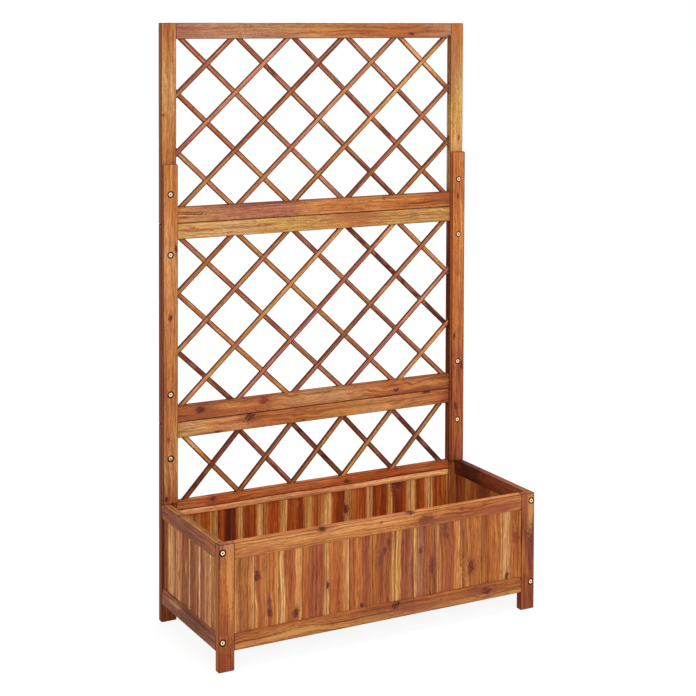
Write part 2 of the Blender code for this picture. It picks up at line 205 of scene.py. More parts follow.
# Spots in the wood: how much of their colour shows, how soft the rim is, how far the grain bends
# round them, and how strong a tail they draw along the grain
markKinds = {
    "knot": {"tone": "knot", "halo": "plum", "share": 0.96, "soft": 0.35, "push": 0.8, "tail": 0.5},
    "redKnot": {"tone": "garnet", "halo": "brick", "share": 0.9, "soft": 0.6, "push": 0.7, "tail": 0.35},
    "stain": {"tone": "plum", "halo": "plum", "share": 0.65, "soft": 1.0, "push": 0.0, "tail": 0.0},
    "violet": {"tone": "violet", "halo": "plum", "share": 0.75, "soft": 0.9, "push": 0.0, "tail": 0.0},
    "pale": {"tone": "tan", "halo": "honey", "share": 0.75, "soft": 1.0, "push": 0.0, "tail": 0.0},
    "crack": {"tone": "knot", "halo": "umber", "share": 0.9, "soft": 0.5, "push": 0.0, "tail": 0.0},
}
markShape = {                            # in radii of the mark
    "bend": 3.2,                         # how far off the grain still bends
    "halo": (0.8, 2.2), "haloShare": 0.75,
    "tail": (0.2, 2.2), "tailStretch": 4,
    "rings": 6.3, "ring": (0.2, -0.8), "ringShare": 0.45,      # in the heart of a knot
    "ragged": 2.0, "tailRagged": 0.1,    # how uneven the rims are
    "apart": 9,                          # so far off are the slats and laths beside its own
}

woodLook = {
    "wander": 1.2, "wave": 0.4,          # cm that the grain strays, over the board and in short waves
    "patches": 0.75,                     # strength of the golden and the red patches
    "streak": 0.72, "lines": 0.68,       # strength of the broad streaks and of the dark lines
    "rings": 0.5, "ringSpacing": 0.75,   # growth lines, and cm between them
    "mottle": 0.5, "fibre": 0.65, "pores": 0.5,
    "paintedSideShade": 0.55, "endDark": 0.5,    # painted shade on the sides, and ends that drink more oil
    "boltEndGrainAndShade": 0.97,                    # painted shade, and darker end grain, in the ring round a bolt's head
    "edgeShadeLine": 0.85, "seamShadeLine": 0.2,   # painted shade: a dark line along edges and V lines
    "roughness": (0.50, 0.68), "gloss": 0.15,
    "tint": (0.97, 1.03, 1.09),          # over all of a board
    "seedStep": 7.3, "slatStep": 17.3,   # from one board's figure to the next, and between slats
}
# Patterns of the wood: changes per cm along and across the grain, detail and roughness
patterns = {
    "wobble": (0.05, 0.14, 1.0, 0.5), "wave": (0.19, 0.45, 1.0, 0.5), "ragged": (1.3, 2.6, 2.0, 0.5),
    "patches": (0.06, 0.28, 1.0, 0.5), "blotch": (0.17, 0.3, 1.0, 0.5), "streak": (0.022, 0.95, 3.0, 0.6),
    "lines": (0.035, 2.8, 2.0, 0.55), "mottle": (0.5, 2.8, 2.0, 0.6), "fibre": (0.2, 6.5, 2.0, 0.6),
    "pores": (0.9, 27, 0.0, 0.5),
}
# Where a pattern tints the wood: from where to where in its values, with which tint, how much of it
shading = [
    ("patches", 0.52, 0.72, "golden", 1), ("patches", 0.48, 0.28, "red", 1),
    ("streak", 0.52, 0.68, "deep", 1), ("streak", 0.48, 0.32, "light", 1),
    ("lines", 0.54, 0.61, "deep", 1), ("lines", 0.47, 0.37, "light", 0.8),
    ("mottle", 0.52, 0.68, "deep", 1), ("mottle", 0.48, 0.34, "light", 1),
]
tints = {
    "deep": (0.58, 0.45, 0.38, 1.0), "light": (1.24, 1.30, 1.26, 1.0), "edge": (0.26, 0.17, 0.14, 1.0),
    "golden": (1.10, 1.24, 1.00, 1.0), "red": (0.90, 0.74, 0.74, 1.0),
}
figureShape = {
    "arch": 0.45, "sway": 2.6,           # how steep an arch is, and how the streaks bend the growth lines
    "ring": (0.5, 1.0), "calm": (0.30, 0.62, 1, 0.35),     # growth lines fade in the golden patches
    "fibre": (0.50, 0.62), "pores": (0.60, 0.72),          # only the peaks
    "polish": (0.3, 0.7), "poreRoughness": 0.1,
    "relief": (0.6, 0.4, 0.7), "bump": 0.55, "depth": 0.0004,        # of fibre, lines and pores; metres
}
facingShape = {                          # how squarely a face looks up, left, sideways or endways
    "up": (0.6, 0.95), "upShare": 0.9, "left": (-0.55, -0.95), "leftShare": 0.85,
    "side": (0.55, 0.95), "end": (0.6, 0.95),
}
edgeShape = {                            # cm
    "line": (0.08, 0.24), "uneven": 0.12,            # the line inside a board's edge, and how it strays
    "seam": (0.22, 0.08),                            # the line beside a V line, in from a slat's edge
    "lath": (0.28, 0.50), "lathShare": 0.88,         # from the middle of a lath outwards
    "bolt": (0.95, 0.82),                            # ring round the middle of a bolt
    "stripe": 0.2, "slat": 0.06,                     # softness of a stripe's edge, and a slat's margin
    "band": 0.1, "bandGrain": 0.25,                  # softness of a band, and how it follows the grain
    "tone": 16,                                      # how far the streaks carry one tone into the next
}
axisOf = {"x": 0, "y": 1, "z": 2}


def grainDirections(look):
    # unit vectors along, across and through; laths have a slope, and are counted to the right
    if "slope" in look:
        cosine, sine = math.cos(look["slope"]), math.sin(look["slope"])
        side = math.copysign(1, sine)
        return (cosine, 0, sine), (side * sine, 0, -side * cosine), (0, 1, 0)
    return tuple(Vector([float(i == axisOf[letter]) for i in range(3)]) for letter in look["grain"])


def placeOnFace(look, horizontal, height):
    # a spot on the wood, given from the left front foot, turned into along and across
    directions = grainDirections(look)
    sideways = "y" in look.get("grain", "")[:2]
    spot = Vector((0, horizontal, height)) if sideways else Vector((horizontal, 0, height))
    return spot.dot(Vector(directions[0])), spot.dot(Vector(directions[1]))


def markDistance(sheet, face, spot, stretch):
    # in cm across the grain
    along, across = spot
    return sheet.length(sheet.scaled(face, (1 / stretch, 1, 0), (-along / stretch, -across, 0)))


def toneRamp(sheet, position, low, high, stops):
    placed = [((start - low) / (high - low), colour[tone]) for start, tone in stops]
    return sheet.node("ShaderNodeValToRGB", {"stops": placed}, {"Fac": (position - low) / (high - low)})


def stripeRamp(sheet, position, stripes, soft):
    # stripes are {start: tone}, each running to the next; long lists take more than one ramp
    starts, shade, most = list(stripes.items()), None, 14        # a ramp holds 32 stops
    for first in range(0, len(starts), most):
        part = starts[first:first + most]
        low, high = part[0][0] - 1, part[-1][0] + 1
        stops = [(low, part[0][1])]
        for (_, before), (start, after) in zip(part, part[1:]):
            stops += [(start - soft, before), (start + soft, after)]
        piece = toneRamp(sheet, position, low, high, stops + [(high, part[-1][1])])
        if shade is None:
            shade = piece
        else:
            shade = sheet.mix(position.maths("GREATER_THAN", part[0][0]), shade, piece)
    return shade


def lathRamp(sheet, number, laths):
    # one tone for each lath, counted from the first
    stops = [(index / len(laths), colour[tone]) for index, tone in enumerate(laths)]
    shade = sheet.node("ShaderNodeValToRGB", {"stops": stops}, {"Fac": (number + 0.5) / len(laths)})
    shade.socket.node.color_ramp.interpolation = "CONSTANT"
    return shade


class Board:
    # the wood of one board, or of many that lie side by side; everything is in cm
    def __init__(self, name, look):
        self.sheet = sheet = newSheet(name)
        self.look = look = {**woodLook, **look}
        place = sheet.node("ShaderNodeTexCoord", None, None, "Object")
        cmPlace = sheet.scaled(place, (100, 100, 100), (-leftEdge, -frontEdge, 0))
        self.directions = grainDirections(look)
        self.along, self.across, self.through = (sheet.dot(cmPlace, d) for d in self.directions)
        self.normal = sheet.node("ShaderNodeTexCoord", None, None, "Normal")
        self.number = None
        seed = look["seed"] * look["seedStep"]
        if "pitch" in look:                              # slats or laths side by side
            self.number = ((self.across - look["firstSeam"]) / look["pitch"]).maths("FLOOR")
            seed = self.number * look["slatStep"] + seed
        self.shifted = self.along + seed
        wobble, wave = self.noise("wobble", self.across), self.noise("wave", self.across)
        self.grain = self.across + (wobble - 0.5) * (2 * look["wander"]) + (wave - 0.5) * (2 * look["wave"])
        self.face = sheet.vector(self.along, self.grain)
        self.ragged = self.noise("ragged", self.across)
        self.masks = [self.placeMark(*mark) for mark in look.get("marks", [])]
        self.figure = {name: self.noise(name) for name in ("patches", "streak", "lines", "mottle", "fibre")}
        self.pores = self.noise("pores").smooth(*figureShape["pores"])

    def noise(self, name, sideways=None):
        stretch, fineness, detail, roughness = patterns[name]
        sideways = sideways or self.grain
        place = self.sheet.vector(self.shifted * stretch, sideways * fineness, self.through * fineness)
        return self.sheet.noise(place, 1.0, detail, roughness)

    def paint(self, share, tone):
        self.shade = self.sheet.mix(share, self.shade, colour[tone])

    def tint(self, share, name):
        self.shade = self.sheet.mix(share, self.shade, tints[name], "MULTIPLY")

    def facing(self, direction):
        return self.sheet.dot(self.normal, direction)

    def edgeGap(self, name):
        # to the nearest edge of a squared board: on a face, one of the three gaps is nothing
        origin, gaps = Vector((leftEdge, frontEdge, 0)), []
        for direction, place in zip(self.directions, (self.along, self.across, self.through)):
            start, end = (direction.dot(corner) * 100 - direction.dot(origin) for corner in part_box(name))
            gaps.append((place - start).maths("MINIMUM", end - place))
        small, large = gaps[0].maths("MINIMUM", gaps[1]), gaps[0].maths("MAXIMUM", gaps[1])
        return small.maths("MAXIMUM", large.maths("MINIMUM", gaps[2]))

    def placeMark(self, kind, horizontal, height, radius, stretch, tone=None):
        # how far off the mark is, in its radii, while the grain bends round it
        rule, look = markKinds[kind], self.look
        spot = placeOnFace(look, horizontal, height)
        reach = markDistance(self.sheet, self.face, spot, stretch)
        if self.number is not None:                      # it ends at its own slat or lath
            own = math.floor((spot[1] - look["firstSeam"]) / look["pitch"])
            reach = reach + abs(self.number - own) * markShape["apart"]
        reach = reach * (self.ragged * markShape["ragged"]) / radius
        tail = None
        if rule["tail"]:
            longer = markDistance(self.sheet, self.face, spot, stretch * markShape["tailStretch"])
            tail = longer / radius + reach * markShape["tailRagged"]
        if rule["push"]:
            bend = reach.smooth(0, markShape["bend"], rule["push"], 0)
            self.grain = self.grain - (self.grain - spot[1]) * bend
        return rule, reach, tail, colour[tone or rule["tone"]]

    def layTone(self):
        # colour of the plain board
        look, sheet = self.look, self.sheet
        if "stripes" in look:                            # each slat keeps to its own stripes
            self.start = self.number * look["pitch"] + look["firstSeam"]
            spot = self.grain.maths("MAXIMUM", self.start + edgeShape["slat"])
            spot = spot.maths("MINIMUM", self.start + look["pitch"] - edgeShape["slat"])
            soft = look.get("stripeSoft", edgeShape["stripe"])
            self.shade = stripeRamp(sheet, spot, look["stripes"], soft)
        elif "laths" in look:
            self.shade = lathRamp(sheet, self.number, look["laths"])
        else:
            stops = list(look["tones"].items())
            carried = self.along + (self.figure["streak"] - 0.5) * edgeShape["tone"]
            self.shade = toneRamp(sheet, carried, stops[0][0], stops[-1][0], stops)
        # painted light: a tone over the faces that look up, as they are lit from above
        if "litTopTone" in look:
            up = self.facing((0, 0, 1)).smooth(*facingShape["up"])
            self.paint(up * facingShape["upShare"], look["litTopTone"])
        soft = edgeShape["band"]
        for start, end, tone, share in look.get("bands", []):
            edge = self.across + (self.grain - self.across) * edgeShape["bandGrain"]
            inside = edge.smooth(start - soft, start + soft) * edge.smooth(end - soft, end + soft, 1, 0)
            self.paint(inside * share, tone)
        blotch = self.noise("blotch") if "blotches" in look else None
        for limits, tone, share in look.get("blotches", []):
            self.paint(blotch.smooth(*limits) * share, tone)

    def layFigure(self):
        look, figure = self.look, self.figure
        for name, start, end, tint, share in shading:
            self.tint(figure[name].smooth(start, end) * (look[name] * share), tint)
        turns = self.grain
        if "arch" in look:                               # nested arches of a flat-sawn board
            centre, growth = look["arch"]
            aside = self.grain - centre
            turns = aside * aside * figureShape["arch"] + self.along * growth
        turns = turns / look["ringSpacing"] + figure["streak"] * figureShape["sway"]
        rings = (turns * (2 * math.pi)).maths("SINE").smooth(*figureShape["ring"])
        rings = rings * figure["patches"].smooth(*figureShape["calm"])
        self.tint(rings * look["rings"], "deep")
        self.tint(figure["fibre"].smooth(*figureShape["fibre"]) * look["fibre"], "deep")
        self.tint(self.pores * look["pores"], "deep")

    def layMarks(self):
        for rule, reach, tail, tone in self.masks:
            halo, soft, share = rule["halo"], rule["soft"] / 2, rule["share"]
            if tail:
                self.paint(tail.smooth(*markShape["tail"], rule["tail"], 0), halo)
            self.paint(reach.smooth(*markShape["halo"], markShape["haloShare"] * share, 0), halo)
            rings = (reach * markShape["rings"]).maths("COSINE")
            rings = rings.smooth(*markShape["ring"], 0, markShape["ringShare"])
            heart = self.sheet.mix(rings, tone, colour[halo])
            self.shade = self.sheet.mix(reach.smooth(1 - soft, 1 + soft, share, 0), self.shade, heart)

    def layEdges(self):
        look = self.look
        for x, z in look.get("bolts", []):               # painted shade in the recess round a bolt's head, on end grain that is darker too
            face = self.sheet.vector(self.along, self.across)
            ring = markDistance(self.sheet, face, placeOnFace(look, x, z), 1)
            self.paint(ring.smooth(*edgeShape["bolt"], 0, look["boltEndGrainAndShade"]), "knot")
        sideways, endways = self.facing(self.directions[1]), self.facing(self.directions[0])
        if "sideTone" in look:                           # painted shade on the side that faces left
            left = sideways.smooth(*facingShape["left"])
            self.paint(left * facingShape["leftShare"], look["sideTone"])
        # painted shade on the faces across the grain, and darker end grain on the ends
        self.tint(abs(sideways).smooth(*facingShape["side"]) * look["paintedSideShade"], "deep")
        self.tint(abs(endways).smooth(*facingShape["end"]) * look["endDark"], "deep")
        # painted shade: a dark line inside each edge of a frame board, and beside each V line of a slat
        # wall
        if "box" in look:
            gap = self.edgeGap(look["box"]) + (self.figure["mottle"] - 0.5) * edgeShape["uneven"]
            self.tint(gap.smooth(*edgeShape["line"], look["edgeShadeLine"], 0), "edge")
        elif "stripes" in look:                          # and along the V lines of a slat wall
            half = look["pitch"] / 2
            limits = [half - inset for inset in edgeShape["seam"]]
            self.tint(abs(self.across - self.start - half).smooth(*limits, 0, look["seamShadeLine"]), "edge")
        self.shade = self.sheet.mix(1.0, self.shade, (*look["tint"], 1.0), "MULTIPLY")
        # painted shade on the rims and sides of each lath
        if "laths" in look:
            middle = (self.number + 0.5) * look["pitch"] + look["firstSeam"]
            rim = abs(self.across - middle).smooth(*edgeShape["lath"])
            self.paint(rim * edgeShape["lathShare"], "knot")


def woodMaterial(name, look):
    board = Board(name, look)
    board.layTone()
    board.layFigure()
    board.layMarks()
    board.layEdges()
    sheet, fibre, pores = board.sheet, board.figure["fibre"], board.pores
    polish = fibre.smooth(*figureShape["polish"], *board.look["roughness"])
    polish = polish + pores * figureShape["poreRoughness"]
    high, low, deep = figureShape["relief"]
    relief = fibre * high + board.figure["lines"] * low - pores * deep
    bump = {"Height": relief, "Strength": figureShape["bump"], "Distance": figureShape["depth"]}
    values = {"Base Color": board.shade, "Roughness": polish, "Specular IOR Level": board.look["gloss"],
              "Normal": sheet.node("ShaderNodeBump", None, bump)}
    return sheet.surface(sheet.node("ShaderNodeBsdfPrincipled", None, values))


def coat(thing, *materials):
    thing.data.materials.clear()
    for material in materials:
        thing.data.materials.append(material)


def dress(name, look):
    coat(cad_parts[name], woodMaterial(name + "_wood", look))


# Boards of the frame. The grain letters are along, across and through. Tones follow one another along a
# board, and bands are (start, end, tone, share) across it. Marks are (kind, place from the left, or from
# the front in a side, height, radius, stretch), with a tone where it isn't the kind's own. All are in cm
# from the left front foot
uprights = {
    "front_left_leg": {
        "tones": {0: "brick", 9: "rust", 15: "amber", 23: "orange", 30: "clay"},
        "marks": [("stain", 0.6, 2.5, 0.7, 3, "wine"), ("violet", 0.15, 24, 0.42, 14),
                  ("pale", 2.9, 20, 0.5, 14), ("stain", 1.3, 11, 0.25, 12)],
        "arch": (1.0, 0.05), "sideTone": "orange", "tint": (0.93, 1.00, 1.13),
    },
    "front_right_leg": {
        "tones": {0: "brick", 5: "plum", 11: "rust", 15: "brick", 20: "umber", 27: "rust"},
        "marks": [("violet", 87.1, 18, 0.75, 7), ("pale", 86.8, 25.6, 0.75, 4.5, "honey"),
                  ("violet", 86.6, 13, 0.35, 8), ("stain", 85.3, 26, 0.5, 6)],
        "tint": (1.00, 1.12, 1.28), "boltEndGrainAndShade": 0.7,
    },
    "rear_left_leg": {
        "tones": {0: "rust", 15: "orange", 35: "rust", 50: "honey"},
        "marks": [("knot", 2.6, 34, 0.5, 1.6), ("crack", 1.4, 4, 0.08, 26),
                  # this long coffee mark is painted shade on the face in the recess beside the slats
                  ("violet", 0.35, 17.5, 0.55, 26, "coffee")],
        "sideTone": "walnut",
    },
    "rear_right_leg": {
        "tones": {0: "brick", 18: "orange", 26: "honey", 38: "rust", 50: "brick"},
        "marks": [("redKnot", 86, 12, 0.5, 1.5)], "sideTone": "plum",
    },
    "middle_left_stile": {
        "tones": {50: "orange", 65: "honey", 82: "orange", 100: "rust"},
        "marks": [("redKnot", 1.4, 71, 0.5, 1.8), ("stain", 3, 90, 0.4, 10)], "sideTone": "plum",
    },
    "middle_right_stile": {
        "tones": {50: "rust", 62: "brick", 80: "rust", 100: "orange"},
        "marks": [("knot", 86.4, 88, 0.45, 1.6)], "sideTone": "coffee",
    },
    "upper_left_stile": {
        "tones": {100: "orange", 117: "orange", 127: "honey", 134: "tan", 142: "honey", 150: "orange"},
        "marks": [("redKnot", 0.6, 127.2, 0.22, 1.2), ("stain", 3.5, 147, 0.2, 5)],
        "arch": (3.0, 0.03), "sideTone": "dun", "tint": (0.87, 1.06, 1.35),
        "lines": 0.45, "fibre": 0.45,
    },
    "upper_right_stile": {
        "tones": {100: "honey", 112: "sand", 126: "cream", 134: "sand", 140: "honey", 150: "orange"},
        "marks": [("redKnot", 86.9, 118.8, 0.28, 1.5), ("stain", 84.8, 140, 0.9, 9, "clay")],
        "arch": (85.5, 0.03), "tint": (0.93, 1.04, 1.07),
        "lines": 0.45, "fibre": 0.45,
    },
    "left_batten": {
        "tones": {30: "amber", 38: "honey", 54: "orange", 60: "orange", 92: "honey", 104: "orange",
                  115: "orange"},
        "marks": [("knot", 1.4, 76.6, 0.3, 2.2), ("redKnot", 1.8, 46.2, 0.3, 2.4),
                  ("knot", 3.1, 93.9, 0.34, 2.4), ("stain", 0.3, 58.5, 0.35, 7),
                  ("knot", 0.7, 31.3, 0.4, 1.6)],
        "arch": (2.4, 0.02), "sideTone": "plum", "tint": (0.97, 1.13, 1.50),
    },
    "right_batten": {
        "tones": {30: "brick", 40: "rust", 52: "brick", 58: "brick", 66: "amber", 80: "orange",
                  96: "orange", 104: "amber", 115: "orange"},
        "marks": [("knot", 85, 45.3, 0.42, 2.8), ("knot", 84.8, 64.5, 0.38, 2.2),
                  ("knot", 87.2, 56.3, 0.55, 2), ("knot", 85.8, 103, 0.26, 2.6),
                  ("crack", 85.5, 43, 0.1, 26)],
        "sideTone": "copper", "tint": (1.17, 1.30, 1.60), "boltEndGrainAndShade": 0.45,
    },
}
rails = {
    "upper_panel_top_rail": {
        "tones": {4: "mauve", 14: "clay", 32: "clay", 44: "honey", 56: "orange", 72: "amber", 84: "clay"},
        "marks": [("crack", 5.4, 149, 0.1, 13), ("crack", 37.2, 149.95, 0.12, 10),
                  ("knot", 71.6, 146.9, 0.42, 1.8), ("crack", 76.5, 147.5, 0.07, 40),
                  ("crack", 83.6, 146.2, 0.25, 1.6)],
        "tint": (0.89, 1.00, 1.20), "lines": 0.4, "fibre": 0.4,
    },
    "upper_panel_bottom_rail": {
        "tones": {4: "tan", 12: "clay", 22: "mauve", 36: "mauve", 44: "honey", 60: "honey", 67: "orange",
                  76: "orange", 84: "rust"},
        "marks": [("crack", 8.2, 102.1, 0.15, 26), ("violet", 6.2, 101.1, 0.3, 3),
                  ("redKnot", 27.8, 103.4, 0.18, 1.3), ("redKnot", 30.8, 100.3, 0.16, 1.4),
                  ("redKnot", 63.3, 102.8, 0.28, 1.4), ("crack", 75.5, 101.4, 0.1, 58),
                  ("stain", 80, 102.9, 0.8, 5, "russet")],
        "tint": (0.98, 1.04, 1.06),
    },
    "middle_panel_top_rail": {
        "tones": {4: "cream", 20: "sand", 34: "gold", 44: "gold", 52: "honey", 56: "orange", 62: "gold",
                  76: "gold", 84: "gold"},
        "marks": [("redKnot", 27.6, 98.3, 0.42, 1.4, "honey"), ("stain", 12, 98, 0.22, 9, "rust"),
                  ("stain", 18.5, 97.2, 0.2, 7, "amber"), ("stain", 8.5, 98.8, 0.2, 5, "rust"),
                  ("stain", 55, 99, 0.6, 8, "orange")],
        "arch": (98.4, 0.06), "wave": 0.5, "streak": 0.5, "tint": (0.94, 1.05, 1.22),
    },
    "middle_panel_bottom_rail": {
        "tones": {4: "orange", 12: "rust", 18: "honey", 28: "orange", 33: "tan", 48: "sand", 58: "honey",
                  66: "orange", 76: "honey", 84: "rust"},
        "marks": [("knot", 10.4, 52.3, 0.7, 1.6), ("redKnot", 28.2, 52.5, 0.75, 1.7),
                  ("knot", 67.4, 51.6, 0.4, 1.5), ("stain", 11, 50.7, 0.6, 12, "rust"),
                  ("stain", 75, 50.8, 0.5, 10)],
        "arch": (50.2, 0.10), "rings": 0.6, "wave": 0.9, "tint": (0.97, 0.98, 1.12),
    },
    "lower_panel_top_rail": {
        "tones": {4: "cream", 10: "sand", 14: "honey", 20: "tan", 26: "orange", 44: "orange", 54: "honey",
                  62: "tan", 72: "honey", 79: "orange", 84: "brick"},
        "marks": [("knot", 24.2, 49, 0.95, 1.15, "coffee"), ("knot", 15.2, 46.7, 0.36, 2),
                  ("knot", 76.8, 49.6, 0.34, 3), ("redKnot", 39.5, 46.6, 0.2, 2)],
        "tint": (0.98, 1.03, 1.22),
    },
    "waist_rail": {
        "tones": {4: "orange", 10: "honey", 15: "copper", 34: "orange", 46: "orange", 54: "copper",
                  66: "copper", 76: "orange", 84: "copper"},
        # the butter band is painted light on the moulding, and the coffee line painted shade in its groove
        "bands": [(26, 27.65, "butter", 1), (27.65, 27.95, "coffee", 0.8)],
        "marks": [("knot", 13.9, 29.4, 0.42, 1.6, "coffee"), ("knot", 52.4, 28.7, 0.5, 1.9),
                  ("redKnot", 67.5, 29.3, 0.25, 2.2)],
        "tint": (1.25, 1.16, 1.38),
    },
    "front_top_rail": {
        "tones": {4: "honey", 9: "tan", 22: "tan", 26: "honey", 30: "tan", 44: "tan", 51: "honey",
                  57: "orange", 61: "honey", 66: "orange", 76: "orange", 84: "honey"},
        "bands": [(25.8, 27.9, "orange", 0.35)],
        "marks": [("knot", 26.8, 29.7, 0.42, 2), ("knot", 51.4, 30, 0.36, 1.9),
                  ("violet", 55.7, 27.7, 0.95, 1.9, "knot"), ("crack", 55.2, 27.6, 0.13, 14),
                  ("redKnot", 66, 29.1, 0.34, 1.5), ("redKnot", 42.9, 29.1, 0.18, 1.4),
                  ("stain", 60, 27.2, 0.5, 14), ("stain", 76, 27.4, 0.7, 8, "brick")],
        "litTopTone": "apricot",
    },
    "front_bottom_rail": {
        "tones": {4: "rust", 9: "amber", 14: "orange", 24: "orange", 33: "amber", 41: "rust", 46: "brick",
                  53: "rust", 60: "amber", 68: "rust", 75: "rust", 84: "amber"},
        # the honey band is painted light on the moulding's face, and the umber line painted shade in its
        # groove
        "bands": [(4.5, 6.25, "honey", 0.5), (6.25, 6.5, "umber", 0.5)],
        "marks": [("knot", 47.2, 7.9, 0.8, 1.3), ("knot", 73.3, 7.2, 0.8, 1.7),
                  ("stain", 70.2, 7.3, 0.6, 3.5, "wine"), ("redKnot", 60.1, 6.9, 0.2, 1.3),
                  ("stain", 53, 5.9, 0.6, 6, "brick"), ("pale", 20, 5.9, 0.45, 12, "gold")],
        "tint": (0.92, 1.05, 1.18),
    },
    "rear_bottom_rail": {
        "tones": {4: "brick", 30: "rust", 60: "brick", 84: "umber"},
        "marks": [("knot", 33, 6.8, 0.7, 1.4)],
    },
}
sideRails = {
    "left_top_rail": {
        "tones": {2: "rust", 8: "brick", 14: "plum", 20: "umber", 28: "plum", 35: "brick"},
        "litTopTone": "clay", "streak": 0.9, "lines": 0.9, "tint": (0.98, 1.05, 0.76),
        "marks": [("stain", 24, 28.5, 0.6, 5), ("redKnot", 24.5, 29.8, 0.5, 1.5)],
    },
    "left_bottom_rail": {
        "tones": {2: "brick", 7: "plum", 14: "umber", 20: "umber", 26: "plum", 35: "brick"},
        "litTopTone": "clay", "streak": 0.9, "lines": 0.9, "tint": (0.87, 1.03, 0.98),
        "marks": [("stain", 15, 6.5, 0.7, 4, "coffee"), ("pale", 27, 7.5, 0.5, 6, "clay")],
    },
    "right_top_rail": {
        "tones": {2: "amber", 6: "rust", 12: "brick", 20: "wine", 24: "coffee", 32: "coffee", 35: "wine"},
        "marks": [("knot", 21, 28.8, 0.4, 1.8)],
    },
    "right_bottom_rail": {
        "tones": {2: "amber", 16: "orange", 35: "rust"},
        "marks": [("redKnot", 11, 6.4, 0.5, 1.7)],
    },
}
boltedBoards = {                         # which bolts and screws have their heads in a board
    "left_batten": "batten_screw_left", "right_batten": "batten_screw_right",
    "front_left_leg": "front_left_bolt", "front_right_leg": "front_right_bolt",
    "rear_left_leg": "rear_left_bolt", "rear_right_leg": "rear_right_bolt",
}


def headPlace(name):
    # middle of a head's outer face; the rear bolts face backward
    low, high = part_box(name)
    y = high.y if name.startswith("rear") else low.y
    return Vector(((low.x + high.x) / 2, y, (low.z + high.z) / 2))


for board, bolts in boltedBoards.items():
    heads = [headPlace(name) * 100 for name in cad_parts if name.startswith(bolts)]
    uprights[board]["bolts"] = sorted((head.x - leftEdge, head.z) for head in heads)

frameBoards = ((uprights, "zxy", 0.05, 1), (rails, "xzy", 0.15, 11), (sideRails, "yzx", 0.15, 21))
for boards, grain, gloss, firstSeed in frameBoards:
    for seed, (name, look) in enumerate(boards.items(), firstSeed):
        dress(name, {"grain": grain, "gloss": gloss, "box": name, "seed": seed, **look})

# Floor of the box, which only shows from above and below
floorTones = ["orange", "tan", "amber", "honey", "rust", "tan", "orange", "gold"]
for number, tone in enumerate(floorTones, 1):
    look = {"grain": "yxz", "tones": {0: tone, 20: "honey", 37: tone}, "seed": 30 + number}
    dress("floor_board_%d" % number, look)
for number, name in enumerate(("front_cleat", "rear_cleat")):
    dress(name, {"grain": "xzy", "tones": {2: "amber", 45: "honey", 86: "rust"}, "seed": 40 + number})
print("boards finished")


# Modelling by hand: everything is deselected first, and edges are picked by their place
nearly = 1e-5


def alone(thing):
    bpy.ops.object.select_all(action="DESELECT")
    thing.select_set(True)
    bpy.context.view_layer.objects.active = thing


def keepPlace(name):
    # names the new primitive, and puts its place and size in its mesh
    thing = bpy.context.object
    thing.name = thing.data.name = name
    bpy.ops.object.transform_apply(location=True, rotation=True, scale=True)
    return thing


def addBlock(name, low, high):
    bpy.ops.object.select_all(action="DESELECT")
    bpy.ops.mesh.primitive_cube_add(size=1, location=(Vector(low) + Vector(high)) / 2)
    bpy.context.object.scale = Vector(high) - Vector(low)
    return keepPlace(name)


def bevelEdges(thing, chosen, width, segments):
    alone(thing)
    bpy.ops.object.mode_set(mode="EDIT")
    bpy.ops.mesh.select_mode(type="EDGE")
    bpy.ops.mesh.select_all(action="DESELECT")
    mesh = bmesh.from_edit_mesh(thing.data)
    for edge in mesh.edges:
        edge.select_set(chosen(edge.verts[0].co, edge.verts[1].co))
    bmesh.update_edit_mesh(thing.data)
    bpy.ops.mesh.bevel(offset=width, segments=segments, affect="EDGES")
    bpy.ops.object.mode_set(mode="OBJECT")


def runsAlong(axis):
    # picks the edges of a block that run along an axis
    return lambda a, b: abs(a[axis] - b[axis]) > nearly


def trimBeyond(thing, point, outward):
    # cuts off what lies beyond a plane, and closes the cut
    alone(thing)
    bpy.ops.object.mode_set(mode="EDIT")
    bpy.ops.mesh.select_all(action="SELECT")
    bpy.ops.mesh.bisect(plane_co=point, plane_no=outward, use_fill=True, clear_outer=True)
    bpy.ops.object.mode_set(mode="OBJECT")


def copyOf(thing, matrix):
    twin = thing.copy()
    twin.data = thing.data.copy()
    twin.data.transform(matrix)
    bpy.context.scene.collection.objects.link(twin)
    return twin


def join(name, pieces):
    bpy.ops.object.select_all(action="DESELECT")
    for piece in pieces:
        piece.select_set(True)
    bpy.context.view_layer.objects.active = pieces[0]
    bpy.ops.object.join()
    whole = bpy.context.object
    whole.name = whole.data.name = name
    return whole


def repeat(name, model, matrices):
    # one piece out of copies of a model, which is used up
    copies = [copyOf(model, matrix) for matrix in matrices]
    bpy.data.objects.remove(model, do_unlink=True)
    return join(name, copies)


def seat(thing, slot, node):
    # the piece takes the place of a node of the frame
    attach(thing, "root")
    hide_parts(node)


